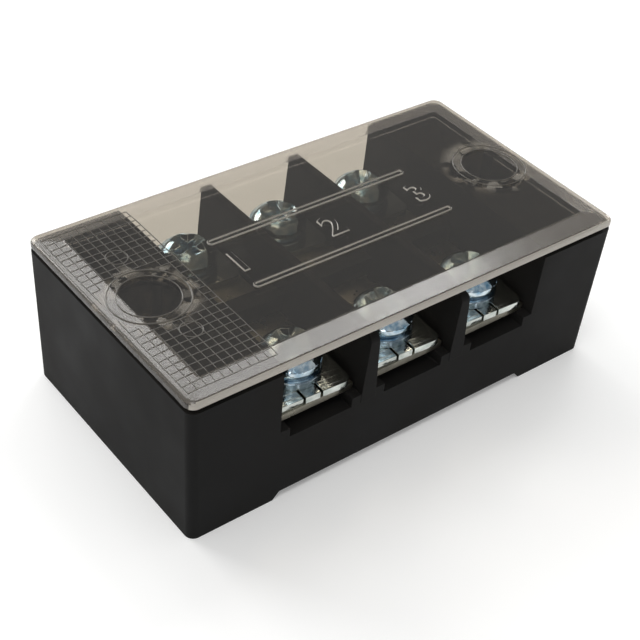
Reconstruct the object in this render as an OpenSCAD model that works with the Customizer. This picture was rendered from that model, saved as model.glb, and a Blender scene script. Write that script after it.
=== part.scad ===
// Three-pole barrier terminal strip: a black moulded base with two rows of
// clamp screws, three conductor bars and a clear cover that pushes on from above.
// X runs along the strip, Y across it, Z up. The origin is under the middle of the base.

/* [Strip] */
// Width across the strip, wire side to wire side
strip_w = 30; // [29.5:0.5:34]
// Free height over the screw heads, up to the cover
head_room = 2.65; // [2.5:0.05:6]
// Radius of the base's upright corners
corner_r = 1.0; // [0.6:0.1:2]
// How far each end leans in towards the bottom
end_draft = 0.55; // [0.1:0.05:1]
// How far each wire side leans in towards the bottom
side_draft = 0.1; // [0:0.05:0.4]

/* [Feet] */
// Length of the foot under each end
foot_l = 10.5; // [9:0.5:13]
// Height of the feet under the middle of the base
foot_h = 0.9; // [0.4:0.1:1.5]
// Run of the slope where a foot meets the middle
foot_slope = 0.8; // [0.2:0.1:1.5]

/* [Shadow line] */
// Height of the groove just under the cover
groove_h = 0.5; // [0.2:0.1:0.8]
// Depth of that groove
groove_d = 0.4; // [0.2:0.1:0.6]

/* [Barriers] */
// Thickness of a barrier at its foot
barrier_w = 1.9; // [1.5:0.1:2.5]
// Thickness of a barrier at its rounded top
barrier_tip_w = 1.1; // [0.8:0.1:1.4]
// Gap between the barriers' tops and the cover
barrier_gap = 0.65; // [0.5:0.05:3]
// Radius of a barrier's upper corner at the wire side
barrier_corner_r = 1.1; // [0.5:0.1:2]
// How far the end blocks' inner walls lean back from foot to top
wall_lean = 0.2; // [0:0.05:0.4]

/* [Terminal seats] */
// Height of the ledges that carry the conductor bars
ledge_z = 9.45; // [9:0.05:10]
// How far a ledge reaches under the bar on each side
ledge_grip = 1; // [0.7:0.1:1.4]
// Depth of the channel between a pole's two ledges
channel_d = 1.15; // [1.1:0.05:2]
// Width of the rib across the middle that holds the bars down
rib_w = 2.2; // [1.6:0.2:3]
// Height of that hold-down rib
rib_h = 2.1; // [1.6:0.1:4]
// Clearance all round a screw in its blind hole
pit_clear = 0.65; // [0.4:0.05:0.9]
// Space between a screw's tip and the bottom of that hole
pit_spare = 0.95; // [0.5:0.05:2]

/* [Fixing holes] */
// Diameter of the fixing holes
hole_d = 4.4; // [3.6:0.1:5]
// Diameter of the counterbore over each fixing hole
counterbore_d = 8.6; // [8.2:0.1:10]
// Height of the seat for the fixing screw's head
seat_z = 6; // [3:0.5:8]
// Wall between a counterbore and the end of the strip
end_outer_wall = 0.9; // [0.7:0.1:2]
// Wall between a counterbore and the first pole
end_inner_wall = 1.3; // [1.1:0.1:3]

/* [Conductor bars] */
// Width of a bar
bar_w = 9.8; // [9:0.1:12]
// Thickness of a bar
bar_t = 0.8; // [0.6:0.1:1]
// Distance from a bar's end to the wire side of the base
bar_inset = 1.3; // [0.8:0.1:2]
// Wall of the drawn neck under each threaded hole
neck_wall = 1.05; // [0.8:0.05:1.5]
// Length of that neck
neck_h = 1.0; // [0.6:0.1:1.05]

/* [Clamp plates] */
// How far a clamp plate stands back from each side of its bar
plate_margin = 0.1; // [0.05:0.05:0.5]
// Depth of a clamp plate, from the bar's end inwards
plate_d = 8; // [7.8:0.1:8.4]
// Thickness of a clamp plate
plate_t = 0.8; // [0.6:0.1:1]
// Radius of a clamp plate's corners
plate_r = 1.0; // [0.5:0.1:1.5]
// Angle that the tightened screw has turned each plate by
plate_turn = 3; // [0:0.5:3]
// Length of the two slits at the wire side
slit_l = 2.2; // [1.5:0.1:2.4]
// Width of each slit
slit_w = 0.3; // [0.2:0.05:0.5]
// Distance between the two slits
slit_gap = 2.1; // [1.6:0.1:3]
// Distance between the grip grooves under the plate
grip_pitch = 0.9; // [0.7:0.1:1.2]
// Depth of the grip grooves
grip_d = 0.2; // [0.1:0.05:0.3]

/* [Screws] */
// Distance of each screw from the wire side of the base
screw_inset = 5.7; // [5.4:0.1:6]
// Nominal diameter of the thread
screw_d = 3.5; // [3:0.1:3.7]
// Length of the screw under its head
screw_l = 8; // [6:0.5:8.5]
// Diameter of the pan head
head_d = 6.4; // [5.6:0.1:7]
// Height of the pan head
head_h = 3.0; // [2:0.1:3.4]
// Radius of the head's domed top
dome_r = 3.9; // [3.7:0.1:6]
// Width of the cross recess
cross_w = 0.9; // [0.6:0.1:1.1]
// Length of the cross recess
cross_l = 3.2; // [2.6:0.1:4]
// Depth of the cross recess
cross_d = 1.5; // [1:0.1:1.8]

/* [Spring washers] */
// Outer diameter of a spring washer
washer_d = 6.6; // [6:0.1:7]
// Thickness of a spring washer
washer_t = 0.9; // [0.7:0.1:1.1]
// Width of the split
split_w = 0.5; // [0.3:0.1:0.8]

/* [Cover] */
// Height of the cover's upright outer edge
cover_edge_h = 0.85; // [0.7:0.05:1]
// Size of the small bevel along the cover's outer edge
cover_bevel = 0.35; // [0.2:0.05:0.5]
// Thickness of the cover's flat middle
cover_t = 1.1; // [1:0.05:1.5]
// Width of the sloping border round the flat middle
border_w = 2.8; // [2:0.1:3.5]
// Distance between the two long marker rails
rail_gap = 8.2; // [7:0.1:9]
// Length of each rail
rail_l = 26.4; // [24:0.1:30]
// Width of each rail
rail_w = 0.9; // [0.6:0.1:1.2]
// Height of the rails above the cover
rail_h = 0.2; // [0.1:0.05:0.4]
// Length of the split bosses that grip the counterbores
boss_l = 4.6; // [3:0.1:6]
// Wall of those bosses
boss_t = 1; // [0.8:0.1:1.2]
// Width of the slots that split a boss into four prongs
boss_slot_w = 1.2; // [0.8:0.1:2]

/* [Fits] */
// Clearance on each side between a bar and the walls of its pole
bar_clear = 0.2; // [0.1:0.05:0.5]
// Clearance all round between a boss and its counterbore
boss_clear = 0.1; // [0.05:0.01:0.15]
// Clearance all round between a screw and its threaded hole
thread_clear = 0.05; // [0.02:0.01:0.1]
// Clearance all round between a screw and its plate and washer
shank_clear = 0.25; // [0.15:0.05:0.3]
// Clearance between a bar and the rib above it
rib_clear = 0.05; // [0.02:0.01:0.1]

/* [Hidden] */
$fn = 48;
poles = 3;
front = 1;
back = -1;
eps = 0.01;                                     // overshoot of a cut past a face
past = 1;                                       // overshoot of a cut past the whole base
pitch = bar_w + 2 * bar_clear + barrier_w;      // from one pole to the next
well_l = poles * pitch - barrier_w;             // all the poles, wall to wall, at the ledges
end_l = end_outer_wall + counterbore_d + end_inner_wall;
strip_l = well_l + 2 * end_l;
hole_x = strip_l / 2 - end_outer_wall - counterbore_d / 2;
row_y = strip_w / 2 - screw_inset;
bar_l = strip_w - 2 * bar_inset;
bar_top = ledge_z + bar_t;
plate_top = bar_top + plate_t;
washer_top = plate_top + washer_t;
base_h = washer_top + head_h + head_room;       // the base's top, which the cover sits on
barrier_top = base_h - barrier_gap;
rib_bottom = bar_top + rib_clear;
channel_z = ledge_z - channel_d;
channel_w = bar_w - 2 * ledge_grip;
pit_d = screw_d + 2 * pit_clear;
pit_z = washer_top - screw_l - pit_spare;
neck_d = screw_d + 2 * neck_wall;
plate_w = bar_w - 2 * plate_margin;
screw_r = screw_d / 2 - thread_clear;           // the screw turns freely in its nominal hole
shank_hole_r = screw_r + shank_clear;
boss_r = counterbore_d / 2 - boss_clear;
barrier_tip_r = barrier_tip_w / 2;

function pole_x(pole) = (pole - (poles + 1) / 2) * pitch;

// A rectangle with round corners, centred on the origin
module rounded_rectangle(length, width, radius) {
    square([length - 2 * radius, width], center = true);
    square([length, width - 2 * radius], center = true);
    for (x = [-1, 1], y = [-1, 1])
        translate([x * (length / 2 - radius), y * (width / 2 - radius)])
            circle(r = radius, $fn = 32);
}

// A flat outline in X and Z, pushed through the whole width of the strip
module across(width) {
    translate([0, width / 2, 0])
        rotate([90, 0, 0])
            linear_extrude(width)
                children();
}

// Puts its children on one screw axis; the back row is turned about, so that
// -Y is always the wire side
module at_terminal(pole, side) {
    rotate(side == front ? 0 : 180)
        translate([side * pole_x(pole), -row_y, 0])
            children();
}

// The base's outside: a block that leans in a little towards its bottom
module drafted_block() {
    hull() {
        linear_extrude(eps)
            rounded_rectangle(strip_l - 2 * end_draft, strip_w - 2 * side_draft, corner_r);
        translate([0, 0, base_h - eps])
            linear_extrude(eps)
                rounded_rectangle(strip_l, strip_w, corner_r);
    }
}

// The shallow space under the middle of the base, which leaves a foot at each end
module foot_gap() {
    foot_x = strip_l / 2 - foot_l;
    across(strip_w + 2 * past)
        polygon([
            [-foot_x - foot_slope * past / foot_h, -past],
            [foot_x + foot_slope * past / foot_h, -past],
            [foot_x - foot_slope, foot_h],
            [-foot_x + foot_slope, foot_h]
        ]);
}

// The groove round the top edge that makes the dark line under the cover
module shadow_groove() {
    translate([0, 0, base_h - groove_h])
        linear_extrude(groove_h + past)
            difference() {
                square([strip_l + 2 * past, strip_w + 2 * past], center = true);
                rounded_rectangle(strip_l - 2 * groove_d, strip_w - 2 * groove_d, corner_r);
            }
}

// The space that holds all the poles, open at both wire sides and at the top
module pole_space() {
    across(strip_w + 2 * past)
        polygon([
            [-well_l / 2, ledge_z],
            [well_l / 2, ledge_z],
            [well_l / 2 + wall_lean, base_h + past],
            [-well_l / 2 - wall_lean, base_h + past]
        ]);
}

// The channel between a pole's ledges, with the blind hole under each screw
module screw_channel(pole) {
    translate([pole_x(pole) - channel_w / 2, -strip_w / 2 - past, channel_z])
        cube([channel_w, strip_w + 2 * past, channel_d + eps]);
    for (side = [front, back])
        at_terminal(pole, side)
            translate([0, 0, pit_z])
                cylinder(d = pit_d, h = channel_z - pit_z + eps);
}

// One barrier: it thins towards a round top, and its upper corners are round
module barrier() {
    tip_z = barrier_top - barrier_tip_r;
    half = strip_w / 2;
    intersection() {
        across(strip_w)
            union() {
                polygon([
                    [-barrier_w / 2, channel_z],
                    [barrier_w / 2, channel_z],
                    [barrier_w / 2, ledge_z],
                    [barrier_tip_r, tip_z],
                    [-barrier_tip_r, tip_z],
                    [-barrier_w / 2, ledge_z]
                ]);
                translate([0, tip_z])
                    circle(r = barrier_tip_r, $fn = 32);
            }
        rotate([90, 0, 90])
            linear_extrude(barrier_w + 2 * eps, center = true)
                union() {
                    translate([-half, 0])
                        square([strip_w, barrier_top - barrier_corner_r]);
                    translate([-half + barrier_corner_r, 0])
                        square([strip_w - 2 * barrier_corner_r, barrier_top]);
                    for (y = [-1, 1])
                        translate([y * (half - barrier_corner_r), barrier_top - barrier_corner_r])
                            circle(r = barrier_corner_r);
                }
    }
}

// The rib across the middle, over the bars
module hold_down_rib() {
    translate([-well_l / 2 - eps, -rib_w / 2, rib_bottom])
        cube([well_l + 2 * eps, rib_w, rib_h]);
}

// One fixing hole with the counterbore that also takes the cover's boss
module fixing_hole() {
    translate([0, 0, -past])
        cylinder(d = hole_d, h = base_h + 2 * past);
    translate([0, 0, seat_z])
        cylinder(d = counterbore_d, h = base_h - seat_z + past);
}

module base() {
    color([0.1, 0.1, 0.1])
        union() {
            difference() {
                drafted_block();
                foot_gap();
                shadow_groove();
                pole_space();
                for (pole = [1:poles])
                    screw_channel(pole);
                for (x = [-hole_x, hole_x])
                    translate([x, 0, 0])
                        fixing_hole();
            }
            for (gap = [1:poles - 1])
                translate([pole_x(gap + 0.5), 0, 0])
                    barrier();
            hold_down_rib();
        }
}

// The cover's plate: an upright edge, a small bevel, a sloping border, a flat middle
module cover_plate() {
    hull() {
        linear_extrude(cover_edge_h - cover_bevel)
            rounded_rectangle(strip_l, strip_w, corner_r);
        linear_extrude(cover_edge_h)
            rounded_rectangle(strip_l - 2 * cover_bevel, strip_w - 2 * cover_bevel, corner_r);
        linear_extrude(cover_t)
            square([strip_l - 2 * border_w, strip_w - 2 * border_w], center = true);
    }
}

// One long marker rail with round ends
module rail() {
    linear_extrude(rail_h + eps) {
        square([rail_l - rail_w, rail_w], center = true);
        for (x = [-1, 1])
            translate([x * (rail_l - rail_w) / 2, 0])
                circle(d = rail_w, $fn = 24);
    }
}

// One split boss, hanging from the plate
module boss() {
    translate([0, 0, -boss_l])
        difference() {
            cylinder(r = boss_r, h = boss_l + eps);
            translate([0, 0, -past])
                cylinder(r = boss_r - boss_t, h = boss_l + past);
            for (turn = [45, 135])
                rotate(turn)
                    translate([-boss_r - past, -boss_slot_w / 2, -past])
                        cube([2 * (boss_r + past), boss_slot_w, boss_l + past]);
        }
}

module cover() {
    color([0.55, 0.53, 0.5, 0.45])
        translate([0, 0, base_h])
            union() {
                cover_plate();
                for (y = [-1, 1])
                    translate([0, y * rail_gap / 2, cover_t - eps])
                        rail();
                for (x = [-hole_x, hole_x])
                    translate([x, 0, 0])
                        boss();
            }
}

// A flat bar with a drawn, threaded neck under each screw
module conductor_bar(pole) {
    color([0.78, 0.76, 0.7])
        difference() {
            union() {
                translate([pole_x(pole) - bar_w / 2, -bar_l / 2, ledge_z])
                    cube([bar_w, bar_l, bar_t]);
                for (side = [front, back])
                    at_terminal(pole, side)
                        translate([0, 0, ledge_z - neck_h])
                            cylinder(d = neck_d, h = neck_h + eps);
            }
            for (side = [front, back])
                at_terminal(pole, side)
                    translate([0, 0, ledge_z - neck_h - past])
                        cylinder(d = screw_d, h = neck_h + bar_t + 2 * past);
        }
}

// A square plate with two slits and, underneath, grooves that grip the wire; the
// tightened screw has turned it until its corners are close to the walls
module clamp_plate(pole, side) {
    wire_y = bar_inset - screw_inset;
    color([0.8, 0.82, 0.82])
        at_terminal(pole, side)
            translate([0, 0, bar_top])
                rotate(-plate_turn)
                    difference() {
                        translate([0, wire_y + plate_d / 2, 0])
                            linear_extrude(plate_t)
                                rounded_rectangle(plate_w, plate_d, plate_r);
                        translate([0, 0, -past])
                            cylinder(r = shank_hole_r, h = plate_t + 2 * past);
                        for (x = [-1, 1])
                            translate([x * slit_gap / 2 - slit_w / 2, wire_y - past, -past])
                                cube([slit_w, slit_l + past, plate_t + 2 * past]);
                        for (groove = [1:2], mirrored = [0, 1])
                            mirror([mirrored, 0, 0])
                                translate([slit_gap, wire_y + groove * grip_pitch, 0])
                                    grip_groove();
                    }
}

// A V groove that runs out of the plate's side
module grip_groove() {
    rotate([90, 0, 90])
        linear_extrude(plate_w)
            polygon([[-grip_d, 0], [-grip_d, -past], [grip_d, -past], [grip_d, 0], [0, grip_d]]);
}

// A ring with a slanting split
module spring_washer(pole, side) {
    color([0.7, 0.72, 0.72])
        at_terminal(pole, side)
            translate([0, 0, plate_top])
                difference() {
                    cylinder(d = washer_d, h = washer_t);
                    translate([0, 0, -past])
                        cylinder(r = shank_hole_r, h = washer_t + 2 * past);
                    rotate([0, -20, 150])
                        translate([0, -split_w / 2, -washer_t])
                            cube([washer_d, split_w, 4 * washer_t]);
                }
}

// A pan-head screw with a cross recess; the thread is left plain
module screw(pole, side) {
    color([0.82, 0.86, 0.88])
        at_terminal(pole, side)
            translate([0, 0, washer_top])
                union() {
                    difference() {
                        intersection() {
                            cylinder(d = head_d, h = head_h);
                            translate([0, 0, head_h - dome_r])
                                sphere(r = dome_r);
                        }
                        for (turn = [0, 90])
                            rotate(turn)
                                translate([-cross_l / 2, -cross_w / 2, head_h - cross_d])
                                    cube([cross_l, cross_w, cross_d + past]);
                    }
                    translate([0, 0, -screw_l])
                        cylinder(r = screw_r, h = screw_l + eps);
                }
}

base();
cover();
conductor_bar(1);  // conductor_bar_1
conductor_bar(2);  // conductor_bar_2
conductor_bar(3);  // conductor_bar_3
clamp_plate(1, front);  // clamp_plate_front_1
clamp_plate(2, front);  // clamp_plate_front_2
clamp_plate(3, front);  // clamp_plate_front_3
clamp_plate(1, back);  // clamp_plate_back_1
clamp_plate(2, back);  // clamp_plate_back_2
clamp_plate(3, back);  // clamp_plate_back_3
spring_washer(1, front);  // spring_washer_front_1
spring_washer(2, front);  // spring_washer_front_2
spring_washer(3, front);  // spring_washer_front_3
spring_washer(1, back);  // spring_washer_back_1
spring_washer(2, back);  // spring_washer_back_2
spring_washer(3, back);  // spring_washer_back_3
screw(1, front);  // screw_front_1
screw(2, front);  // screw_front_2
screw(3, front);  // screw_front_3
screw(1, back);  // screw_back_1
screw(2, back);  // screw_back_2
screw(3, back);  // screw_back_3
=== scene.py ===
import math

import bmesh
import bpy
from mathutils import Matrix, Quaternion, Vector


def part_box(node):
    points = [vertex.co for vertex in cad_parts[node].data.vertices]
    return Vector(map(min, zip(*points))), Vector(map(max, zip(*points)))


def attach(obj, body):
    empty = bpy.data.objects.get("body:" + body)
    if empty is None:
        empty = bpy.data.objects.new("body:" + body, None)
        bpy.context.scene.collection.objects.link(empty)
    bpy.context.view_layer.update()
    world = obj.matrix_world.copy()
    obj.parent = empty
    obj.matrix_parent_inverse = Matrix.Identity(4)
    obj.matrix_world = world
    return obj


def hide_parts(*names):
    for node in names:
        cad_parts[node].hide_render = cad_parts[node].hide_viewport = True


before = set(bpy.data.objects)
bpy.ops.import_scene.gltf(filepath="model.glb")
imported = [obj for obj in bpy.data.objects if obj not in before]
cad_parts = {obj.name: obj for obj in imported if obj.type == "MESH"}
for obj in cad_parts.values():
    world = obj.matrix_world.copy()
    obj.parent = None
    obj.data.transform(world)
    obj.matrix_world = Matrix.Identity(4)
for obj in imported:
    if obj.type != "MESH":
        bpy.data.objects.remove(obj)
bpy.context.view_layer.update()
mm = 0.001


def boxOf(node):
    # the lowest and highest corner of one solid of the frame, in mm
    return [[round(value / mm, 3) for value in corner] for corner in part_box(node)]


poles = (1, 2, 3)
# -Y is the wire side of every terminal before this turn
turnOfSide = {"front": 0, "back": 180}
polePitch = round(boxOf("conductor_bar_2")[0][0] - boxOf("conductor_bar_1")[0][0], 2)
rowY = round(abs(sum(corner[1] for corner in boxOf("screw_front_1"))) / 2, 2)
plateTop, headSeat = (corner[2] for corner in boxOf("spring_washer_front_1"))
coverFoot = boxOf("base")[1][2]
coverLength, coverWidth = (2 * side for side in boxOf("cover")[1][:2])
print("frame loaded:", len(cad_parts), "nodes")


def linearColour(code):
    # '#rrggbb' in sRGB to the linear numbers that Blender's sockets take
    parts = [int(code[i:i + 2], 16) / 255 for i in (1, 3, 5)]
    linear = [c / 12.92 if c <= 0.04045 else ((c + 0.055) / 1.055) ** 2.4 for c in parts]
    return (*linear, 1.0)


def addNode(tree, kind, settings=None, links=None):
    # one node, its settings (properties, input values, ramp stops) and its links {input: socket}
    node = tree.nodes.new(kind)
    for key, value in (settings or {}).items():
        if key == "stops":
            elements = node.color_ramp.elements
            while len(elements) < len(value):
                elements.new(0.5)
            for element, (position, code) in zip(elements, value):
                element.position, element.color = position, linearColour(code)
        elif isinstance(key, str) and hasattr(node, key):
            setattr(node, key, value)
        else:
            isCode = isinstance(value, str) and value.startswith("#")
            node.inputs[key].default_value = linearColour(value) if isCode else value
    for key, sources in (links or {}).items():
        for source in sources if isinstance(sources, list) else [sources]:
            tree.links.new(source, node.inputs[key])
    return node


def startMaterial(name):
    material = bpy.data.materials.new(name)
    material.use_nodes = True
    tree = material.node_tree
    tree.nodes.clear()
    place = addNode(tree, "ShaderNodeTexCoord").outputs["Object"]
    return material, tree, place


baseLook = {"colour": "#141414", "worn": "#1c1b1a", "patch": 9.0, "grain": 0.11,
            "grainDepth": 0.012, "roughness": 0.54, "glossier": 0.06, "duller": 0.1,
            "specular": 0.08}


def mouldedPbt():
    # black PBT from a spark-eroded mould: a fine even grain that breaks up the sheen
    material, tree, place = startMaterial("moulded_black_pbt")
    fine = addNode(tree, "ShaderNodeTexNoise",
                   {"Scale": 1 / (baseLook["grain"] * mm), "Detail": 2.0}, {"Vector": place})
    broad = addNode(tree, "ShaderNodeTexNoise",
                    {"Scale": 1 / (baseLook["patch"] * mm), "Detail": 3.0}, {"Vector": place})
    tone = addNode(tree, "ShaderNodeValToRGB",
                   {"stops": [(0.35, baseLook["colour"]), (0.75, baseLook["worn"])]},
                   {"Fac": broad.outputs["Fac"]})
    sheen = addNode(tree, "ShaderNodeMapRange",
                    {"From Min": 0.3, "From Max": 0.7,
                     "To Min": baseLook["roughness"] - baseLook["glossier"],
                     "To Max": baseLook["roughness"] + baseLook["duller"]},
                    {"Value": broad.outputs["Fac"]})
    bump = addNode(tree, "ShaderNodeBump",
                   {"Strength": 0.5, "Distance": baseLook["grainDepth"] * mm},
                   {"Height": fine.outputs["Fac"]})
    surface = addNode(tree, "ShaderNodeBsdfPrincipled",
                      {"IOR": 1.5, "Specular IOR Level": baseLook["specular"]},
                      {"Base Color": tone.outputs["Color"], "Roughness": sheen.outputs["Result"],
                       "Normal": bump.outputs["Normal"]})
    addNode(tree, "ShaderNodeOutputMaterial", links={"Surface": surface.outputs["BSDF"]})
    return material


coverLook = {"lampTint": "#dcd7d0", "hubAt": 22.8, "beltReach": 8.0, "flake": 1.1, "bend": 1.2,
             "bendBy": 1.5, "whitenedClear": 0.72, "whitenedRoughness": 0.22}
coverFinishes = {
    # straight off a polished mould: clear, with the slow waves of the melt
    "polished_smoke_polycarbonate": {"colour": "#b1a99b", "roughness": 0.0, "clear": 1.0,
                                     "ripple": 5.0, "rippleDepth": 0.02, "stressed": True},
    # off an eroded mould: a thin frost that catches the light
    "eroded_smoke_polycarbonate": {"colour": "#b4ab9e", "roughness": 0.2, "clear": 0.86,
                                   "ripple": 0.3, "rippleDepth": 0.01},
    # the lips that stand up and the upright edge on the wire side: a paler, less clear plastic, a
    # painted highlight where these faces catch the light
    "pale_smoke_polycarbonate_painted_highlight": {"colour": "#dad3c8", "roughness": 0.3, "clear": 0.5,
                                    "ripple": 0.3, "rippleDepth": 0.01},
    # fine lines cut into the mould: a dull dark grey over the black, drawn a little coarse to show
    "textured_smoke_polycarbonate": {"colour": "#66625b", "roughness": 0.35, "clear": 0.5,
                                     "ripple": 0.3, "rippleDepth": 0.01}}


def stressMarks(tree, place):
    # 1 where the plastic went white round the two snap bosses, in broken flakes, and 0 elsewhere
    apart = addNode(tree, "ShaderNodeSeparateXYZ", {}, {"Vector": place})
    mirrored = addNode(tree, "ShaderNodeMath", {"operation": "ABSOLUTE"}, {0: apart.outputs["X"]})
    fromHub = addNode(tree, "ShaderNodeMath", {"operation": "SUBTRACT", 1: coverLook["hubAt"] * mm},
                      {0: mirrored.outputs["Value"]})
    flat = addNode(tree, "ShaderNodeCombineXYZ", {},
                   {"X": fromHub.outputs["Value"], "Y": apart.outputs["Y"]})
    reach = addNode(tree, "ShaderNodeVectorMath", {"operation": "LENGTH"},
                    {"Vector": flat.outputs["Vector"]})
    scaled = addNode(tree, "ShaderNodeMath",
                     {"operation": "MULTIPLY", 1: 1 / (coverLook["beltReach"] * mm)},
                     {0: reach.outputs["Value"]})
    belt = addNode(tree, "ShaderNodeValToRGB",
                   {"stops": [(0.38, "#000000"), (0.43, "#ffffff"), (0.58, "#ffffff"),
                              (0.72, "#000000")]},
                   {"Fac": scaled.outputs["Value"]})
    bend = addNode(tree, "ShaderNodeTexNoise",
                   {"Scale": 1 / (coverLook["bend"] * mm), "Detail": 2.0}, {"Vector": place})
    bent = addNode(tree, "ShaderNodeVectorMath",
                   {"operation": "MULTIPLY_ADD", 1: (coverLook["bendBy"] * mm,) * 3},
                   {0: bend.outputs["Color"], 2: place})
    cells = addNode(tree, "ShaderNodeTexVoronoi", {"Scale": 1 / (coverLook["flake"] * mm)},
                    {"Vector": bent.outputs["Vector"]})
    chosen = addNode(tree, "ShaderNodeValToRGB",
                     {"stops": [(0.52, "#000000"), (0.56, "#ffffff"), (0.9, "#a0a0a0")]},
                     {"Fac": cells.outputs["Color"]})
    return addNode(tree, "ShaderNodeMath", {"operation": "MULTIPLY"},
                   {0: belt.outputs["Color"], 1: chosen.outputs["Color"]}).outputs["Value"]


def polycarbonate(name, colour, roughness, clear, ripple, rippleDepth, stressed=False):
    # smoke-tinted polycarbonate: where the mould is polished it is clear and a little wavy,
    # where the mould is eroded it scatters light and reads as a pale haze
    material, tree, place = startMaterial(name)
    wave = addNode(tree, "ShaderNodeTexNoise", {"Scale": 1 / (ripple * mm), "Detail": 2.0},
                   {"Vector": place})
    bump = addNode(tree, "ShaderNodeBump", {"Strength": 0.25, "Distance": rippleDepth * mm},
                   {"Height": wave.outputs["Fac"]})
    surface = addNode(tree, "ShaderNodeBsdfPrincipled",
                      {"Base Color": colour, "Roughness": roughness, "IOR": 1.58,
                       "Transmission Weight": clear}, {"Normal": bump.outputs["Normal"]})
    if stressed:
        marks = stressMarks(tree, place)
        for socket, low, high in (("Transmission Weight", clear, coverLook["whitenedClear"]),
                                  ("Roughness", roughness, coverLook["whitenedRoughness"])):
            spread = addNode(tree, "ShaderNodeMapRange", {"To Min": low, "To Max": high},
                             {"Value": marks})
            tree.links.new(spread.outputs["Result"], surface.inputs[socket])
    passing = addNode(tree, "ShaderNodeBsdfTransparent", {"Color": coverLook["lampTint"]})
    path = addNode(tree, "ShaderNodeLightPath")
    shade = addNode(tree, "ShaderNodeMath", {"operation": "MAXIMUM"},
                    {0: path.outputs["Is Shadow Ray"], 1: path.outputs["Is Diffuse Ray"]})
    # lamps reach the screws straight through the cover, while the eye sees it as glass
    mix = addNode(tree, "ShaderNodeMixShader", {},
                  {0: shade.outputs["Value"], 1: surface.outputs["BSDF"],
                   2: passing.outputs["BSDF"]})
    addNode(tree, "ShaderNodeOutputMaterial", links={"Surface": mix.outputs["Shader"]})
    return material


def platedMetal(name, colour, shade, roughness, blotch, waviness):
    # a bright plated metal: blotches of tone and gloss where the plating took unevenly
    material, tree, place = startMaterial(name)
    cloud = addNode(tree, "ShaderNodeTexNoise", {"Scale": 1 / (blotch * mm), "Detail": 3.0},
                    {"Vector": place})
    tone = addNode(tree, "ShaderNodeValToRGB", {"stops": [(0.3, shade), (0.65, colour)]},
                   {"Fac": cloud.outputs["Fac"]})
    gloss = addNode(tree, "ShaderNodeMapRange",
                    {"From Min": 0.3, "From Max": 0.7, "To Min": roughness * 1.5,
                     "To Max": roughness * 0.7}, {"Value": cloud.outputs["Fac"]})
    bump = addNode(tree, "ShaderNodeBump", {"Strength": 0.6, "Distance": waviness * mm},
                   {"Height": cloud.outputs["Fac"]})
    surface = addNode(tree, "ShaderNodeBsdfPrincipled", {"Metallic": 1.0},
                      {"Base Color": tone.outputs["Color"], "Roughness": gloss.outputs["Result"],
                       "Normal": bump.outputs["Normal"]})
    addNode(tree, "ShaderNodeOutputMaterial", links={"Surface": surface.outputs["BSDF"]})
    return material


metalLooks = {
    # turned, then blue zinc: nearly a mirror, cold blue where the plating is thick
    "turned_blue_zinc_steel": {"colour": "#dfecf2", "shade": "#6f9dbb", "roughness": 0.09,
                               "blotch": 0.9, "waviness": 0.08},
    # the cross recess: a darker, duller metal, painted shade inside the recess
    "recess_painted_shade_steel": {"colour": "#8ea3b0", "shade": "#2b3b46", "roughness": 0.25,
                                    "blotch": 0.6, "waviness": 0.04},
    # pressed sheet with bright zinc: white glints on a slightly uneven face
    "pressed_bright_zinc_steel": {"colour": "#dfe3de", "shade": "#b9c1bc", "roughness": 0.14,
                                  "blotch": 1.0, "waviness": 0.08},
    # coiled wire: greyer and duller than the screw over it
    "coiled_zinc_spring_steel": {"colour": "#b4c3ce", "shade": "#5f7484", "roughness": 0.18,
                                 "blotch": 0.8, "waviness": 0.04},
    # stamped and tinned: a warm matt grey
    "stamped_tinned_brass": {"colour": "#9c998c", "shade": "#75726a", "roughness": 0.30,
                             "blotch": 2.4, "waviness": 0.02}}

basePlastic = mouldedPbt()
coverClear, coverHazy, coverPaintedHighlight, coverLines = (
    polycarbonate(name, **finish) for name, finish in coverFinishes.items())
screwMetal, recessShadeMetal, plateMetal, washerMetal, barMetal = (
    platedMetal(name, **look) for name, look in metalLooks.items())
print("materials made")


def newObject(name, mesh, material=None):
    piece = bpy.data.objects.new(name, mesh)
    bpy.context.scene.collection.objects.link(piece)
    if material:
        mesh.materials.clear()
        mesh.materials.append(material)
    return piece


def plainMesh(piece):
    # the piece with its modifiers worked in, as a mesh of its own; the piece itself goes
    evaluated = piece.evaluated_get(bpy.context.evaluated_depsgraph_get())
    mesh = bpy.data.meshes.new_from_object(evaluated)
    bpy.data.objects.remove(piece)
    return mesh


def meshOfTree(tree, sizes):
    # runs one Geometry Nodes tree with the sizes given by name
    holder = newObject(tree.name, bpy.data.meshes.new(tree.name))
    modifier = holder.modifiers.new("shape", "NODES")
    modifier.node_group = tree
    for item in tree.interface.items_tree:
        if item.item_type == "SOCKET" and item.in_out == "INPUT" and item.name in sizes:
            modifier[item.identifier] = sizes[item.name]
    return plainMesh(holder)


def startTree(name, inputs):
    tree = bpy.data.node_groups.new(name, "GeometryNodeTree")
    for label, kind in inputs.items():
        tree.interface.new_socket(name=label, in_out="INPUT", socket_type=kind)
    tree.interface.new_socket(name="Geometry", in_out="OUTPUT", socket_type="NodeSocketGeometry")
    return tree, addNode(tree, "NodeGroupInput").outputs


def endTree(tree, geometry, given):
    solid = addNode(tree, "GeometryNodeRealizeInstances", {}, {"Geometry": geometry})
    painted = addNode(tree, "GeometryNodeSetMaterial", {}, {"Geometry": solid.outputs["Geometry"],
                                                            "Material": given["Material"]})
    addNode(tree, "NodeGroupOutput", {}, {"Geometry": painted.outputs["Geometry"]})


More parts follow.
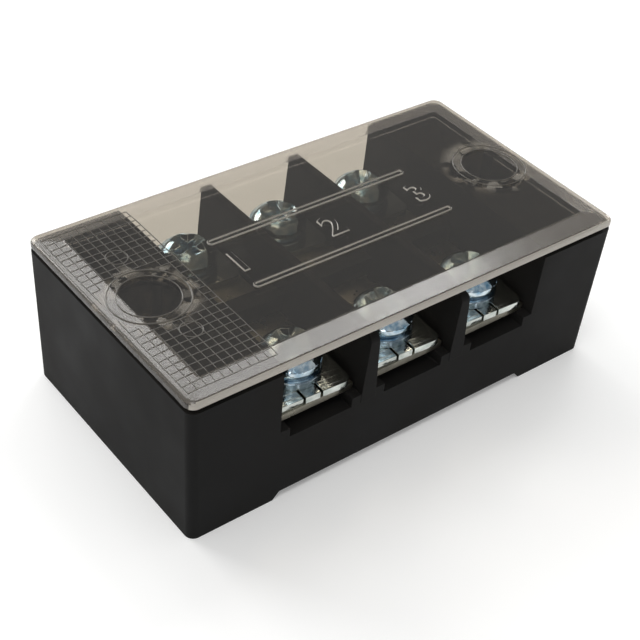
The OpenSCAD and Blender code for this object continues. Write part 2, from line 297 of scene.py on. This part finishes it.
def finishPiece(piece, body, nodes=(), bevel=0.0, sharp=35):
    # rounds the edges that a real tool rounds, smooths the curves, and hands the piece to its body
    if bevel:
        edge = piece.modifiers.new("edges", "BEVEL")
        edge.width, edge.segments = bevel * mm, 2
        edge.limit_method, edge.angle_limit = "ANGLE", math.radians(sharp)
    for face in piece.data.polygons:
        face.use_smooth = True
    piece.data.set_sharp_from_angle(angle=math.radians(30))
    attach(piece, body)
    if nodes:
        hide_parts(*nodes)
    return piece


def cadCopy(node):
    # a merged copy of one solid of the frame, with its flat faces joined
    work = bmesh.new()
    work.from_mesh(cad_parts[node].data)
    bmesh.ops.remove_doubles(work, verts=work.verts, dist=0.0005 * mm)
    bmesh.ops.dissolve_limit(work, angle_limit=math.radians(0.4), verts=work.verts,
                             edges=work.edges)
    mesh = bpy.data.meshes.new(node + "_shape")
    work.to_mesh(mesh)
    work.free()
    return mesh


def terminalPlace(side, pole, turn=0.0):
    # the frame of one terminal, with an extra turn about the screw's own axis
    across = -rowY if side == "front" else rowY
    return (Matrix.Translation(Vector(((pole - 2) * polePitch, across, 0)) * mm)
            @ Matrix.Rotation(math.radians(turnOfSide[side] + turn), 4, "Z"))


# the moulded base, with the small radii that its mould leaves on every edge
base = newObject("moulded_base", cadCopy("base"), basePlastic)
finishPiece(base, "base", ["base"], bevel=0.12)
for pole in poles:
    name = "conductor_bar_" + str(pole)
    bar = newObject("stamped_bar_" + str(pole), cadCopy(name), barMetal)
    finishPiece(bar, "base", [name], bevel=0.06)
print("base and bars made")


plateSizes = {"wireEdge": -4.4, "turn": -3.0, "ridgeRadius": 0.16, "ridgeShows": 0.03,
              "ridgeCount": 3, "ridgePitch": 0.85, "firstRidge": 0.55, "ridgeStart": 1.3,
              "ridgeEnd": 4.35}


def ridgeTree():
    # the wire grips pressed from below show on top as low rounded ridges on both wings
    tree, given = startTree("plate_ridges", {
        "Count": "NodeSocketInt", "Pitch": "NodeSocketFloat", "First": "NodeSocketFloat",
        "Radius": "NodeSocketFloat", "Length": "NodeSocketFloat", "Middle": "NodeSocketFloat",
        "Sink": "NodeSocketFloat", "Material": "NodeSocketMaterial"})
    step = addNode(tree, "ShaderNodeCombineXYZ", {}, {"Y": given["Pitch"]})
    start = addNode(tree, "ShaderNodeCombineXYZ", {}, {"Y": given["First"], "X": given["Middle"],
                                                       "Z": given["Sink"]})
    line = addNode(tree, "GeometryNodeMeshLine", {"mode": "OFFSET"},
                   {"Count": given["Count"], "Start Location": start.outputs["Vector"],
                    "Offset": step.outputs["Vector"]})
    otherWing = addNode(tree, "GeometryNodeTransform", {"Scale": (-1, 1, 1)},
                        {"Geometry": line.outputs["Mesh"]})
    both = addNode(tree, "GeometryNodeJoinGeometry", {},
                   {"Geometry": [line.outputs["Mesh"], otherWing.outputs["Geometry"]]})
    rod = addNode(tree, "GeometryNodeMeshCylinder", {"Vertices": 16},
                  {"Radius": given["Radius"], "Depth": given["Length"]})
    lying = addNode(tree, "GeometryNodeTransform", {"Rotation": (0, math.pi / 2, 0)},
                    {"Geometry": rod.outputs["Mesh"]})
    placed = addNode(tree, "GeometryNodeInstanceOnPoints", {},
                     {"Points": both.outputs["Geometry"], "Instance": lying.outputs["Geometry"]})
    endTree(tree, placed.outputs["Instances"], given)
    return tree


def ridgeMesh():
    start, end = plateSizes["ridgeStart"], plateSizes["ridgeEnd"]
    mesh = meshOfTree(ridgeTree(), {
        "Count": plateSizes["ridgeCount"], "Pitch": plateSizes["ridgePitch"] * mm,
        "First": (plateSizes["wireEdge"] + plateSizes["firstRidge"]) * mm,
        "Radius": plateSizes["ridgeRadius"] * mm, "Length": (end - start) * mm,
        "Middle": (start + end) / 2 * mm,
        "Sink": (plateSizes["ridgeShows"] - plateSizes["ridgeRadius"]) * mm,
        "Material": plateMetal})
    mesh.transform(Matrix.Translation((0, 0, plateTop * mm)))
    return mesh


washerSizes = {"inner": 1.95, "outer": 3.3, "split": 0.55, "splitAt": 150}


def washerTree():
    tree, given = startTree("split_washer", {
        "Radius": "NodeSocketFloat", "Width": "NodeSocketFloat", "Thickness": "NodeSocketFloat",
        "Start": "NodeSocketFloat", "Sweep": "NodeSocketFloat", "Material": "NodeSocketMaterial"})
    coil = addNode(tree, "GeometryNodeCurveArc", {"mode": "RADIUS", "Resolution": 64},
                   {"Radius": given["Radius"], "Start Angle": given["Start"],
                    "Sweep Angle": given["Sweep"]})
    section = addNode(tree, "GeometryNodeCurvePrimitiveQuadrilateral", {"mode": "RECTANGLE"},
                      {"Width": given["Width"], "Height": given["Thickness"]})
    ring = addNode(tree, "GeometryNodeCurveToMesh", {"Fill Caps": True},
                   {"Curve": coil.outputs["Curve"], "Profile Curve": section.outputs["Curve"]})
    endTree(tree, ring.outputs["Mesh"], given)
    return tree


def washerMesh():
    mean = (washerSizes["inner"] + washerSizes["outer"]) / 2
    gap = washerSizes["split"] / mean
    mesh = meshOfTree(washerTree(), {
        "Radius": mean * mm, "Width": (washerSizes["outer"] - washerSizes["inner"]) * mm,
        "Thickness": (headSeat - plateTop) * mm,
        "Start": math.radians(washerSizes["splitAt"]) + gap / 2, "Sweep": 2 * math.pi - gap,
        "Material": washerMetal})
    mesh.transform(Matrix.Translation((0, 0, (plateTop + headSeat) / 2 * mm)))
    return mesh


screwSizes = {"headRadius": 3.2, "headHeight": 3.0, "headFoot": 2.85, "rimShare": 0.6,
              "domeRadius": 3.9,
              # the cross: a deep narrow one and a shallow wide one; each foot is a share of its top
              "recessTop": 5.6, "recessWidth": 1.35, "recessDepth": 1.6, "recessFoot": 0.3,
              "flareTop": 6.0, "flareWidth": 2.3, "flareDepth": 0.85, "flareFoot": 0.5,
              # how far the painted shade in the recess reaches, and how far it keeps in from the
              # dome
              "shadeReach": 2.5, "shadeMargin": 0.15,
              "rootRadius": 1.42, "length": 8.0, "tip": 0.4, "threadPitch": 0.6,
              "threadRadius": 0.27, "coreRise": 0.02}
# how far each screw happens to be turned, in degrees
screwTurns = {"front_1": 22, "front_2": 64, "front_3": 40, "back_1": 12, "back_2": 75, "back_3": 50}


def screwTree():
    # a domed head cut from a ball, a tapered cross recess, and a shank with a real spiral thread
    tree, given = startTree("terminal_screw", {
        "Head radius": "NodeSocketFloat", "Head foot": "NodeSocketFloat",
        "Rim height": "NodeSocketFloat", "Head height": "NodeSocketFloat",
        "Dome radius": "NodeSocketFloat", "Dome middle": "NodeSocketFloat",
        "Recess radius": "NodeSocketFloat", "Recess foot": "NodeSocketFloat",
        "Recess depth": "NodeSocketFloat", "Recess flatness": "NodeSocketFloat",
        "Flare radius": "NodeSocketFloat", "Flare foot": "NodeSocketFloat",
        "Flare depth": "NodeSocketFloat", "Flare flatness": "NodeSocketFloat",
        "Root radius": "NodeSocketFloat", "Length": "NodeSocketFloat", "Turns": "NodeSocketFloat",
        "Thread radius": "NodeSocketFloat", "Material": "NodeSocketMaterial"})
    ball = addNode(tree, "GeometryNodeMeshUVSphere", {"Segments": 64, "Rings": 48},
                   {"Radius": given["Dome radius"]})
    ballPlace = addNode(tree, "ShaderNodeCombineXYZ", {}, {"Z": given["Dome middle"]})
    ball = addNode(tree, "GeometryNodeTransform", {}, {"Geometry": ball.outputs["Mesh"],
                                                       "Translation": ballPlace.outputs["Vector"]})
    # the rim leans out a little from its seat, which leaves a dark line over the washer
    drum = addNode(tree, "GeometryNodeMeshCone", {"Vertices": 64},
                   {"Radius Top": given["Head radius"], "Radius Bottom": given["Head foot"],
                    "Depth": given["Rim height"]})
    crown = addNode(tree, "GeometryNodeMeshCylinder", {"Vertices": 64},
                    {"Radius": given["Head radius"], "Depth": given["Head height"]})
    crownPlace = addNode(tree, "ShaderNodeMath", {"operation": "MULTIPLY_ADD", 1: 0.5},
                         {0: given["Head height"], 2: given["Rim height"]})
    crownShift = addNode(tree, "ShaderNodeCombineXYZ", {}, {"Z": crownPlace.outputs["Value"]})
    crown = addNode(tree, "GeometryNodeTransform", {},
                    {"Geometry": crown.outputs["Mesh"], "Translation": crownShift.outputs["Vector"]})
    drum = addNode(tree, "GeometryNodeMeshBoolean", {"operation": "UNION", "solver": "EXACT"},
                   {"Mesh 2": [drum.outputs["Mesh"], crown.outputs["Geometry"]]})
    head = addNode(tree, "GeometryNodeMeshBoolean", {"operation": "INTERSECT", "solver": "EXACT"},
                   {"Mesh 2": [ball.outputs["Geometry"], drum.outputs["Mesh"]]})
    cutters = []
    for part in ("Recess", "Flare"):
        # a deep narrow cross, and a shallow wide one that opens its mouth
        blade = addNode(tree, "GeometryNodeMeshCone", {"Vertices": 4},
                        {"Radius Top": given[part + " radius"],
                         "Radius Bottom": given[part + " foot"], "Depth": given[part + " depth"]})
        square = addNode(tree, "GeometryNodeTransform", {"Rotation": (0, 0, math.pi / 4)},
                         {"Geometry": blade.outputs["Mesh"]})
        flat = addNode(tree, "ShaderNodeCombineXYZ", {"X": 1.0, "Z": 1.0},
                       {"Y": given[part + " flatness"]})
        foot = addNode(tree, "ShaderNodeMath", {"operation": "SUBTRACT"},
                       {0: given["Head height"], 1: given[part + " depth"]})
        shift = addNode(tree, "ShaderNodeCombineXYZ", {}, {"Z": foot.outputs["Value"]})
        wing = addNode(tree, "GeometryNodeTransform", {},
                       {"Geometry": square.outputs["Geometry"], "Scale": flat.outputs["Vector"],
                        "Translation": shift.outputs["Vector"]})
        crossing = addNode(tree, "GeometryNodeTransform", {"Rotation": (0, 0, math.pi / 2)},
                           {"Geometry": wing.outputs["Geometry"]})
        cutters += [wing.outputs["Geometry"], crossing.outputs["Geometry"]]
    head = addNode(tree, "GeometryNodeMeshBoolean", {"operation": "DIFFERENCE", "solver": "EXACT"},
                   {"Mesh 1": head.outputs["Mesh"], "Mesh 2": cutters})
    spiral = addNode(tree, "GeometryNodeCurveSpiral", {"Resolution": 20},
                     {"Rotations": given["Turns"], "Start Radius": given["Root radius"],
                      "End Radius": given["Root radius"], "Height": given["Length"]})
    ridge = addNode(tree, "GeometryNodeCurvePrimitiveCircle", {"mode": "RADIUS", "Resolution": 4},
                    {"Radius": given["Thread radius"]})
    thread = addNode(tree, "GeometryNodeCurveToMesh", {"Fill Caps": True},
                     {"Curve": spiral.outputs["Curve"], "Profile Curve": ridge.outputs["Curve"]})
    downwards = addNode(tree, "ShaderNodeMath", {"operation": "MULTIPLY", 1: -1.0},
                        {0: given["Length"]})
    shankPlace = addNode(tree, "ShaderNodeCombineXYZ", {}, {"Z": downwards.outputs["Value"]})
    thread = addNode(tree, "GeometryNodeTransform", {},
                     {"Geometry": thread.outputs["Mesh"],
                      "Translation": shankPlace.outputs["Vector"]})
    core = addNode(tree, "GeometryNodeMeshCylinder", {"Vertices": 32},
                   {"Radius": given["Root radius"], "Depth": given["Length"]})
    # the core stands a little higher than the thread, so that it grows out of the head
    middle = addNode(tree, "ShaderNodeMath",
                     {"operation": "MULTIPLY", 1: screwSizes["coreRise"] - 0.5},
                     {0: given["Length"]})
    corePlace = addNode(tree, "ShaderNodeCombineXYZ", {}, {"Z": middle.outputs["Value"]})
    core = addNode(tree, "GeometryNodeTransform", {}, {"Geometry": core.outputs["Mesh"],
                                                       "Translation": corePlace.outputs["Vector"]})
    whole = addNode(tree, "GeometryNodeJoinGeometry", {},
                    {"Geometry": [head.outputs["Mesh"], thread.outputs["Geometry"],
                                  core.outputs["Geometry"]]})
    endTree(tree, whole.outputs["Geometry"], given)
    return tree


def screwMesh():
    dome, height = screwSizes["domeRadius"], screwSizes["headHeight"]
    rim = height - dome + math.sqrt(dome ** 2 - screwSizes["headRadius"] ** 2)
    threadLength = screwSizes["length"] - screwSizes["tip"]
    sizes = {
        "Head radius": screwSizes["headRadius"] * mm, "Head foot": screwSizes["headFoot"] * mm,
        "Rim height": rim * screwSizes["rimShare"] * mm, "Head height": height * mm,
        "Dome radius": dome * mm, "Dome middle": (height - dome) * mm,
        "Root radius": screwSizes["rootRadius"] * mm, "Length": threadLength * mm,
        "Turns": threadLength / screwSizes["threadPitch"],
        "Thread radius": screwSizes["threadRadius"] * mm, "Material": screwMetal}
    for part in ("recess", "flare"):
        radius = screwSizes[part + "Top"] / math.sqrt(2)      # a four-sided cone's corner radius
        label = part.capitalize()
        sizes[label + " radius"] = radius * mm
        sizes[label + " foot"] = radius * screwSizes[part + "Foot"] * mm
        sizes[label + " depth"] = screwSizes[part + "Depth"] * mm
        sizes[label + " flatness"] = screwSizes[part + "Width"] / screwSizes[part + "Top"]
    mesh = meshOfTree(screwTree(), sizes)
    # the second slot holds the darker metal, painted shade in the recess
    mesh.materials.append(recessShadeMetal)
    # the recess walls, which take the painted shade, lie well inside the dome and over the recess's
    # floor
    ballMiddle = Vector((0, 0, (height - dome) * mm))
    ballReach = (dome - screwSizes["shadeMargin"]) * mm
    floor = (height - screwSizes["recessDepth"] - screwSizes["shadeMargin"]) * mm
    for face in mesh.polygons:
        middle = face.center
        if (middle.z > floor and middle.xy.length < screwSizes["shadeReach"] * mm
                and (middle - ballMiddle).length < ballReach):
            face.material_index = 1
    mesh.transform(Matrix.Translation((0, 0, headSeat * mm)))
    return mesh


ridges, washer, screw = ridgeMesh(), washerMesh(), screwMesh()
for side in turnOfSide:
    for pole in poles:
        place = side + "_" + str(pole)
        plate = newObject("clamp_plate_look_" + place, cadCopy("clamp_plate_" + place), plateMetal)
        finishPiece(plate, "clamp_" + place, ["clamp_plate_" + place], bevel=0.09)
        grips = newObject("plate_ridges_" + place, ridges.copy())
        grips.data.transform(terminalPlace(side, pole, plateSizes["turn"]))
        finishPiece(grips, "clamp_" + place)
        ring = newObject("split_washer_" + place, washer.copy())
        ring.data.transform(terminalPlace(side, pole))
        finishPiece(ring, "clamp_" + place, ["spring_washer_" + place], bevel=0.1)
        bolt = newObject("cross_screw_" + place, screw.copy())
        bolt.data.transform(terminalPlace(side, pole, screwTurns[place]))
        finishPiece(bolt, "screw_" + place, ["screw_" + place], bevel=0.06, sharp=18)
print("plates, washers and screws made")


coverSizes = {"corner": 1.0, "innerCorner": 0.3,
              # from the outside inwards: how far in, how high over the cover's foot
              "section": [(0.05, 0.0), (0.0, 0.05), (0.0, 0.5), (0.03, 0.62), (0.1, 0.72),
                          (0.2, 0.80), (0.35, 0.85), (2.6, 1.02), (2.68, 1.09), (2.72, 1.1)],
              "edgePoints": 6,       # the first six make the upright edge, the rest the border
              "railLength": 26.4, "railGap": 8.2,
              # a rail has two raised lips with a shallow trough between them: half width, height
              "railSection": [(0.45, -0.3), (0.45, 0.12), (0.38, 0.2), (0.26, 0.2), (0.17, 0.04)],
              "bossRadius": 4.2, "bossWall": 1.0, "bossDepth": 4.6, "bossSlot": 1.2,
              "bossRoot": 0.3, "digitHeight": 3.4, "digitRise": 0.14, "digitShift": -0.15,
              # in shares of the digit's size: how much a stroke grows, rises and is drawn in
              "strokeGrow": 0.01, "strokeRise": 0.01, "strokeBevel": 0.022}
borderSection = coverSizes["section"][coverSizes["edgePoints"]:]
windowTop = coverFoot + borderSection[-1][1]


def roundedRing(inset, height, corner):
    # the points of one rounded rectangle round the cover, anticlockwise
    points = []
    halfX, halfY = coverLength / 2 - inset - corner, coverWidth / 2 - inset - corner
    for quarter, (sx, sy) in enumerate([(1, 1), (-1, 1), (-1, -1), (1, -1)]):
        for step in range(9):
            angle = math.pi / 2 * (quarter + step / 8)
            points.append((sx * halfX + corner * math.cos(angle),
                           sy * halfY + corner * math.sin(angle), coverFoot + height))
    return points


def railRing(side, radius, height):
    # one outline round a rail, anticlockwise
    points = []
    half = coverSizes["railLength"] / 2 - coverSizes["railSection"][0][0]
    for end in (1, -1):
        for step in range(13):
            angle = math.pi * (step / 12 - 0.5 * end)
            points.append((end * half + radius * math.cos(angle),
                           side * coverSizes["railGap"] / 2 + radius * math.sin(angle),
                           windowTop + height))
    return points


def addLoft(work, outlines):
    # walls from each outline (mm) to the next, with the first and the last closed
    rings = [[work.verts.new(Vector(point) * mm) for point in outline] for outline in outlines]
    for low, high in zip(rings, rings[1:]):
        for i in range(len(low)):
            j = (i + 1) % len(low)
            work.faces.new((low[i], low[j], high[j], high[i]))
    work.faces.new(rings[-1])
    work.faces.new(list(reversed(rings[0])))


def loftMesh(name, lofts):
    work = bmesh.new()
    for outlines in lofts:
        addLoft(work, outlines)
    mesh = bpy.data.meshes.new(name)
    work.to_mesh(mesh)
    work.free()
    return mesh


def coverPlate():
    outlines = []
    for inset, height in coverSizes["section"]:
        corner = coverSizes["innerCorner" if inset > coverSizes["corner"] else "corner"]
        outlines.append(roundedRing(inset, height, corner))
    return loftMesh("cover_plate", [outlines])


def coverFittings():
    # the two marker rails on top and the two split bosses underneath
    lofts = [[railRing(side, radius, height) for radius, height in coverSizes["railSection"]]
             for side in (-1, 1)]
    outer = coverSizes["bossRadius"]
    for end in (-1, 1):
        for quarter in range(4):
            outline = []
            for radius, order in ((outer, 1), (outer - coverSizes["bossWall"], -1)):
                reach = math.pi / 4 - math.asin(coverSizes["bossSlot"] / 2 / radius)
                for step in range(13):
                    angle = math.pi / 2 * quarter + order * reach * (step / 6 - 1)
                    outline.append((end * coverLook["hubAt"] + radius * math.cos(angle),
                                    radius * math.sin(angle)))
            lofts.append([[point + (coverFoot + height,) for point in outline]
                          for height in (-coverSizes["bossDepth"], coverSizes["bossRoot"])])
    return loftMesh("cover_fittings", lofts)


def digitMesh(digit, pole):
    # one raised number over its pole, its strokes drawn in towards their tops
    curve = bpy.data.curves.new("digit", "FONT")
    curve.body = digit
    curve.align_x, curve.align_y = "CENTER", "CENTER"
    curve.offset, curve.extrude = coverSizes["strokeGrow"], coverSizes["strokeRise"]
    curve.bevel_depth, curve.bevel_resolution = coverSizes["strokeBevel"], 0
    curve.resolution_u = 4
    holder = bpy.data.objects.new("digit", curve)
    bpy.context.scene.collection.objects.link(holder)
    mesh = plainMesh(holder)
    work = bmesh.new()
    work.from_mesh(mesh)
    bmesh.ops.remove_doubles(work, verts=work.verts, dist=1e-5)
    bmesh.ops.recalc_face_normals(work, faces=work.faces)
    xs, ys, zs = zip(*(vertex.co for vertex in work.verts))
    middleX, middleY = (max(xs) + min(xs)) / 2, (max(ys) + min(ys)) / 2
    size = coverSizes["digitHeight"] / (max(ys) - min(ys))
    rise = 2 * coverSizes["digitRise"] / (max(zs) - min(zs))
    at = Vector(((pole - 2) * polePitch + coverSizes["digitShift"], 0, windowTop))
    for vertex in work.verts:
        x, y, z = vertex.co
        vertex.co = (Vector(((x - middleX) * size, (y - middleY) * size, z * rise)) + at) * mm
    work.to_mesh(mesh)
    work.free()
    return mesh


def makeCover():
    plate = newObject("cover_plate", coverPlate())
    extras = [newObject("cover_fittings", coverFittings())]
    extras += [newObject("digit_" + str(pole), digitMesh(str(pole), pole)) for pole in poles]
    for extra in extras:
        union = plate.modifiers.new("union", "BOOLEAN")
        union.operation, union.solver, union.object = "UNION", "EXACT", extra
    mesh = plainMesh(plate)
    for extra in extras:
        bpy.data.objects.remove(extra)
    cover = newObject("clear_cover", mesh, coverClear)
    mesh.materials.append(coverHazy)
    # third slot: the paler plastic, a painted highlight on the lips and on the wire-side edge
    mesh.materials.append(coverPaintedHighlight)
    for face in mesh.polygons:
        x, y, z = (abs(value) / mm for value in face.center)
        inset = min(coverLength / 2 - x, coverWidth / 2 - y)
        # the border is eroded; the edge on the wire side and the lips that stand up get the paler
        # plastic, a painted highlight
        if z > windowTop + 0.01:
            lip = face.normal.z < 0.99
        else:
            lip = inset < borderSection[0][0] and face.normal.y < -0.5
        border = inset < borderSection[-1][0] and z > coverFoot and face.normal.z > 0.5
        face.material_index = 2 if lip else 1 if border else 0
    finishPiece(cover, "cover", ["cover"])
    # the flat window and border mirror the lamps as flat faces do
    for face in mesh.polygons:
        if abs(face.normal.z) > 0.99:
            face.use_smooth = False


def coverHeight(x, y):
    # how high the cover's top lies over a point (mm), down its sloping border too
    inset = min(coverLength / 2 - abs(x), coverWidth / 2 - abs(y))
    for (nearer, low), (further, high) in zip(borderSection, borderSection[1:]):
        if inset < further:
            return coverFoot + low + (high - low) * max(inset - nearer, 0) / (further - nearer)
    return windowTop


def layOnCover(mesh):
    for vertex in mesh.vertices:
        vertex.co.z += coverHeight(vertex.co.x / mm, vertex.co.y / mm) * mm
    return mesh


gridSizes = {"pitch": 1.0, "wire": 0.055, "left": -27.2, "right": -17.2, "near": -13.5,
             "far": 13.5, "clearRound": 4.5}
# the witness lines of the bosses and of two ejector pins: x, y, radius, wire
ringPlaces = [(-coverLook["hubAt"], 0, 4.2, 0.09), (-coverLook["hubAt"], 0, 3.25, 0.07),
              (coverLook["hubAt"], 0, 4.2, 0.07), (coverLook["hubAt"], 0, 3.25, 0.07),
              (-22.25, 7.0, 1.15, 0.06), (-22.1, -6.3, 1.15, 0.06)]


def gridTree():
    # fine raised lines in squares over one end of the cover, left out round the boss
    tree, given = startTree("cover_grid_lines", {
        "Length": "NodeSocketFloat", "Width": "NodeSocketFloat", "Columns": "NodeSocketInt",
        "Rows": "NodeSocketInt", "Middle": "NodeSocketVector", "Hub": "NodeSocketVector",
        "Clear round": "NodeSocketFloat", "Wire": "NodeSocketFloat",
        "Material": "NodeSocketMaterial"})
    sheet = addNode(tree, "GeometryNodeMeshGrid", {}, {
        "Size X": given["Length"], "Size Y": given["Width"], "Vertices X": given["Columns"],
        "Vertices Y": given["Rows"]})
    moved = addNode(tree, "GeometryNodeTransform", {}, {"Geometry": sheet.outputs["Mesh"],
                                                        "Translation": given["Middle"]})
    point = addNode(tree, "GeometryNodeInputPosition").outputs["Position"]
    fromHub = addNode(tree, "ShaderNodeVectorMath", {"operation": "DISTANCE"},
                      {0: point, 1: given["Hub"]})
    near = addNode(tree, "FunctionNodeCompare", {"operation": "LESS_THAN"},
                   {"A": fromHub.outputs["Value"], "B": given["Clear round"]})
    kept = addNode(tree, "GeometryNodeDeleteGeometry", {"domain": "POINT"},
                   {"Geometry": moved.outputs["Geometry"], "Selection": near.outputs["Result"]})
    lines = addNode(tree, "GeometryNodeMeshToCurve", {}, {"Mesh": kept.outputs["Geometry"]})
    section = addNode(tree, "GeometryNodeCurvePrimitiveCircle", {"mode": "RADIUS", "Resolution": 6},
                      {"Radius": given["Wire"]})
    wires = addNode(tree, "GeometryNodeCurveToMesh", {"Fill Caps": True},
                    {"Curve": lines.outputs["Curve"], "Profile Curve": section.outputs["Curve"]})
    endTree(tree, wires.outputs["Mesh"], given)
    return tree


def ringTree():
    tree, given = startTree("cover_witness_ring", {
        "Radius": "NodeSocketFloat", "Wire": "NodeSocketFloat", "Middle": "NodeSocketVector",
        "Material": "NodeSocketMaterial"})
    path = addNode(tree, "GeometryNodeCurvePrimitiveCircle", {"mode": "RADIUS", "Resolution": 64},
                   {"Radius": given["Radius"]})
    section = addNode(tree, "GeometryNodeCurvePrimitiveCircle", {"mode": "RADIUS", "Resolution": 8},
                      {"Radius": given["Wire"]})
    ring = addNode(tree, "GeometryNodeCurveToMesh", {}, {"Curve": path.outputs["Curve"],
                                                         "Profile Curve": section.outputs["Curve"]})
    moved = addNode(tree, "GeometryNodeTransform", {}, {"Geometry": ring.outputs["Mesh"],
                                                        "Translation": given["Middle"]})
    endTree(tree, moved.outputs["Geometry"], given)
    return tree


def makeCoverLines():
    long, wide = gridSizes["right"] - gridSizes["left"], gridSizes["far"] - gridSizes["near"]
    grid = meshOfTree(gridTree(), {
        "Length": long * mm, "Width": wide * mm, "Columns": round(long / gridSizes["pitch"]) + 1,
        "Rows": round(wide / gridSizes["pitch"]) + 1,
        "Middle": ((gridSizes["left"] + long / 2) * mm, (gridSizes["near"] + wide / 2) * mm, 0.0),
        "Hub": (-coverLook["hubAt"] * mm, 0.0, 0.0), "Clear round": gridSizes["clearRound"] * mm,
        "Wire": gridSizes["wire"] * mm, "Material": coverLines})
    finishPiece(newObject("cover_grid", layOnCover(grid)), "cover")
    tree = ringTree()
    for number, (x, y, radius, wire) in enumerate(ringPlaces, 1):
        ring = layOnCover(meshOfTree(tree, {
            "Radius": radius * mm, "Wire": wire * mm, "Middle": (x * mm, y * mm, 0.0),
            "Material": coverLines}))
        finishPiece(newObject("cover_ring_" + str(number), ring), "cover")


makeCover()
makeCoverLines()
print("cover made")


studio = {"tent": 0.5, "low": 0.6, "floorColour": "#f7f7f6", "floorSize": 3000,
          "floorFill": 0.14}
# name, centre and size in mm, radiance; these hang level, and the cover's flat top mirrors them
softboxes = [("front_border_box", (258, 210, 420), (216, 160), 4.5),
             ("streak_box", (346, 243, 418), (36, 60), 12.0),
             ("left_border_box", (115, 385, 420), (150, 190), 4.5)]
# and the rest are turned towards the strip
aimedBoxes = [("key_box", (-200, -130, 820), (360, 360), 4.0),
              ("back_box", (-130, 560, 310), (400, 320), 5.5),
              ("right_box", (640, 270, 170), (220, 200), 5.0),
              ("camera_side_box", (-300, -540, 330), (180, 180), 5.0)]


def hangTent():
    # an even tent round the strip, brightest overhead
    world = bpy.data.worlds.new("studio")
    bpy.context.scene.world = world
    world.use_nodes = True
    tree = world.node_tree
    tree.nodes.clear()
    way = addNode(tree, "ShaderNodeSeparateXYZ", {},
                  {"Vector": addNode(tree, "ShaderNodeTexCoord").outputs["Generated"]})
    level = addNode(tree, "ShaderNodeMapRange",
                    {"To Min": studio["tent"] * studio["low"], "To Max": studio["tent"]},
                    {"Value": way.outputs["Z"]})
    glow = addNode(tree, "ShaderNodeBackground", {"Color": "#ffffff"},
                   {"Strength": level.outputs["Result"]})
    addNode(tree, "ShaderNodeOutputWorld", links={"Surface": glow.outputs["Background"]})


def layFloor():
    half = studio["floorSize"] * mm / 2
    mesh = bpy.data.meshes.new("floor")
    mesh.from_pydata([(-half, -half, 0), (half, -half, 0), (half, half, 0), (-half, half, 0)], [],
                     [(0, 1, 2, 3)])
    material, tree, _ = startMaterial("matt_white_board")
    surface = addNode(tree, "ShaderNodeBsdfPrincipled",
                      {"Base Color": studio["floorColour"], "Roughness": 0.8,
                       "Specular IOR Level": 0.1})
    # the board reads as white to the eye and in reflections, and still takes the shadow
    path = addNode(tree, "ShaderNodeLightPath")
    seen = path.outputs["Is Camera Ray"]
    for kind in ("Is Glossy Ray", "Is Transmission Ray"):
        seen = addNode(tree, "ShaderNodeMath", {"operation": "MAXIMUM"},
                       {0: seen, 1: path.outputs[kind]}).outputs["Value"]
    fill = addNode(tree, "ShaderNodeMath", {"operation": "MULTIPLY", 1: studio["floorFill"]},
                   {0: seen})
    glow = addNode(tree, "ShaderNodeEmission", {}, {"Strength": fill.outputs["Value"]})
    both = addNode(tree, "ShaderNodeAddShader", {}, {0: surface.outputs["BSDF"],
                                                     1: glow.outputs["Emission"]})
    addNode(tree, "ShaderNodeOutputMaterial", links={"Surface": both.outputs["Shader"]})
    newObject("floor", mesh, material)


def hangBox(name, place, size, level):
    light = bpy.data.lights.new(name, "AREA")
    light.shape = "RECTANGLE"
    light.size, light.size_y = size[0] * mm, size[1] * mm
    light.energy = level * math.pi * light.size * light.size_y
    lamp = bpy.data.objects.new(name, light)
    bpy.context.scene.collection.objects.link(lamp)
    lamp.location = Vector(place) * mm
    return lamp


def hangSoftboxes():
    for box in softboxes:
        hangBox(*box)
    for box in aimedBoxes:
        lamp = hangBox(*box)
        lamp.rotation_euler = (-lamp.location).to_track_quat("-Z", "Y").to_euler()


cameraView = {"place": (-78.42, -88.1, 101.86), "aim": (-2.96, -2.88, 9.0), "roll": 5.99,
              "lens": 76.47}


def placeCamera():
    data = bpy.data.cameras.new("camera")
    data.lens, data.sensor_width = cameraView["lens"], 36
    data.clip_start = 0.005
    camera = bpy.data.objects.new("camera", data)
    bpy.context.scene.collection.objects.link(camera)
    place, aim = (Vector(cameraView[key]) * mm for key in ("place", "aim"))
    roll = Quaternion((0, 0, 1), math.radians(cameraView["roll"]))
    camera.location, camera.rotation_mode = place, "QUATERNION"
    camera.rotation_quaternion = (aim - place).to_track_quat("-Z", "Y") @ roll
    bpy.context.scene.camera = camera


hangTent()
layFloor()
hangSoftboxes()
placeCamera()
bpy.context.scene.view_settings.view_transform = "Standard"
print("studio and camera placed")
